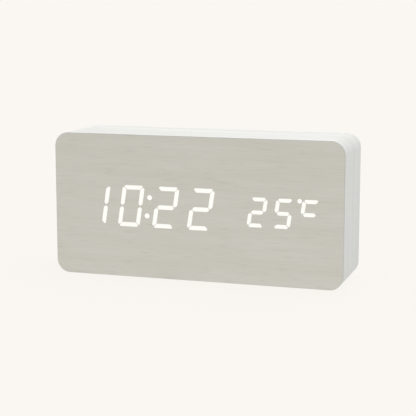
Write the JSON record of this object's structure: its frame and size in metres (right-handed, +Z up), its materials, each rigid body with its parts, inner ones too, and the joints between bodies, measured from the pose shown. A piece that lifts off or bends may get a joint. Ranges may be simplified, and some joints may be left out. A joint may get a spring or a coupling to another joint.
{
  "type": "digital alarm clock",
  "caption": "Block-shaped wooden alarm clock with rounded corners; lit time and temperature digits shine through its veneer front, keys and battery door at the rear.",
  "frame": {"origin": "middle of the flat base", "axes": "+X to the right of the display, +Y to the rear, +Z up"},
  "size_m": [0.15, 0.04, 0.0725],
  "materials": {
    "film_wrap": "white printed film on fibreboard, satin",
    "bare_board": "bare fibreboard",
    "veneer": "thin grey-beige veneer, satin",
    "lit_veneer": "veneer lit from behind",
    "frosted_sheet": "frosted sheet",
    "white_moulding": "white moulding, fine texture",
    "circuit_board": "solder mask over glass fibre",
    "emitter": "clear resin over phosphor",
    "chip_body": "moulded resin",
    "steel": "zinc-plated steel",
    "header": "natural nylon",
    "ribbon": "flat cable, grey insulation",
    "switch_body": "black moulding",
    "shell": "nickel-plated shell",
    "panel": "white moulding, fine texture",
    "key_cap": "light grey moulding, satin",
    "cell_jacket": "plain printed jacket",
    "red_lead": "insulated wire",
    "black_lead": "insulated wire"
  },
  "bodies": {
    "case": {"case_sleeve": "film_wrap", "front_board": "bare_board", "front_veneer": "veneer", "lit_time_bars": "lit_veneer", "lit_colon_dots": "lit_veneer", "lit_temperature_bars": "lit_veneer", "diffuser_sheet": "frosted_sheet", "segment_reflector": "white_moulding", "display_board": "circuit_board", "segment_leds": "emitter", "display_board_screws": "steel", "controller_chip": "chip_body", "driver_chip": "chip_body", "buzzer": "chip_body", "coin_cell": "steel", "coin_cell_clip": "steel", "battery_header": "header", "ribbon_headers": "header", "ribbon_cable": "ribbon", "key_board": "circuit_board", "key_board_screws": "steel", "key_switches": "switch_body", "usb_socket": "shell", "usb_tongue": "switch_body", "microphone": "shell", "temperature_sensor": "chip_body", "rear_panel": "panel", "rear_panel_screws": "steel", "battery_box": "panel", "battery_cells": "cell_jacket", "contact_plates": "steel", "contact_springs": "steel", "positive_lead": "red_lead", "negative_lead": "black_lead"},
    "set_key": {"set_button": "key_cap", "set_plunger": "switch_body"},
    "up_key": {"up_button": "key_cap", "up_plunger": "switch_body"},
    "down_key": {"down_button": "key_cap", "down_plunger": "switch_body"},
    "battery_hatch": {"battery_door": "panel"}
  },
  "joints": [
    {"name": "set_press", "type": "slide", "parent": "case", "child": "set_key", "axis": [0, -1, 0], "range_m": [0, 0.0005], "stiffness_N_per_m": 400},
    {"name": "up_press", "type": "slide", "parent": "case", "child": "up_key", "axis": [0, -1, 0], "range_m": [0, 0.0005], "stiffness_N_per_m": 400},
    {"name": "down_press", "type": "slide", "parent": "case", "child": "down_key", "axis": [0, -1, 0], "range_m": [0, 0.0005], "stiffness_N_per_m": 400},
    {"name": "battery_door_swing", "type": "hinge", "parent": "case", "child": "battery_hatch", "pos_m": [-0.034, 0.017, 0.05465], "axis": [1, 0, 0], "range_deg": [0, 90]}
  ]
}
